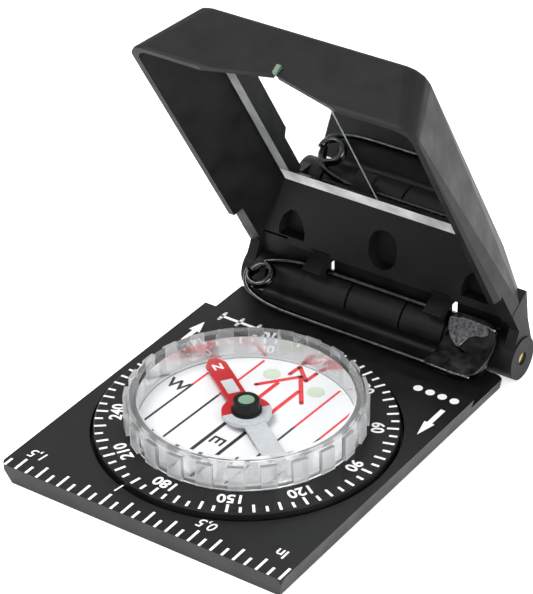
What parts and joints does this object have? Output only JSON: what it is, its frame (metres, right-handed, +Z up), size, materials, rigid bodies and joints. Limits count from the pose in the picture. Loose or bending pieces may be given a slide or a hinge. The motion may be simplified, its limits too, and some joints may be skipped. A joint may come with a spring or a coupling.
{
  "type": "sighting compass",
  "caption": "Folding sighting compass with a mirrored lid, a turning dial with a clear capsule, a ruler on the base and a safety pin.",
  "frame": {"origin": "on the plane of the base plate's underside, midway between the ruler edge and the back of the hinge barrel, on the middle line", "axes": "+Z up out of the base, +Y towards the lid hinge, +X to the right seen from the ruler end"},
  "size_m": [0.0414, 0.0568, 0.0505],
  "materials": {
    "black_plastic": "matte",
    "clear_plastic": "gloss",
    "white_plastic": "matte",
    "washer_plastic": "matte",
    "needle_red": "satin",
    "glow_paint": "matte",
    "jewel": "gloss",
    "steel": "satin",
    "dark_wire": "gloss",
    "brass": "satin",
    "mirror": "gloss",
    "tape": "matte"
  },
  "bodies": {
    "base": {"base_plate": "black_plastic", "friction_washer": "washer_plastic", "hinge_pin": "brass"},
    "dial": {"dial_ring": "black_plastic", "retaining_ring": "black_plastic", "capsule_base": "white_plastic", "capsule_body": "clear_plastic", "fill_plug": "white_plastic", "floor_card": "white_plastic", "card_glow_spots": "glow_paint", "pivot_pin": "steel"},
    "needle": {"jewel_bearing": "jewel", "needle_blade": "needle_red", "needle_magnet": "dark_wire", "needle_cap": "black_plastic", "cap_glow_spot": "glow_paint", "needle_glow_bar": "glow_paint"},
    "lid": {"lid_shell": "black_plastic", "mirror_plate": "mirror", "mirror_tape": "tape", "sight_glow_dot": "glow_paint"},
    "pin": {"pin_wire": "dark_wire", "pin_clasp": "dark_wire"},
    "free_arm": {"pin_arm": "dark_wire"}
  },
  "joints": [
    {"name": "lid_hinge", "type": "hinge", "parent": "base", "child": "lid", "pos_m": [0, 0.02555, 0.003], "axis": [-1, 0, 0], "range_deg": [-59, 81]},
    {"name": "dial_spin", "type": "hinge", "parent": "base", "child": "dial", "pos_m": [0, -0.00585, 0.003], "axis": [0, 0, 1], "continuous": true},
    {"name": "needle_spin", "type": "hinge", "parent": "dial", "child": "needle", "pos_m": [0, -0.00585, 0.006], "axis": [0, 0, 1], "continuous": true},
    {"name": "pin_swing", "type": "hinge", "parent": "base", "child": "pin", "pos_m": [0, 0.02454, 0.00667], "axis": [-1, 0, 0], "range_deg": [0, 2.5]},
    {"name": "pin_squeeze", "type": "hinge", "parent": "pin", "child": "free_arm", "pos_m": [-0.0165, 0.02145, 0.00473], "axis": [0, -0.5329, 0.8462], "range_deg": [0, 6], "stiffness_Nm_per_rad": 0.05, "springref_deg": -11.46}
  ]
}
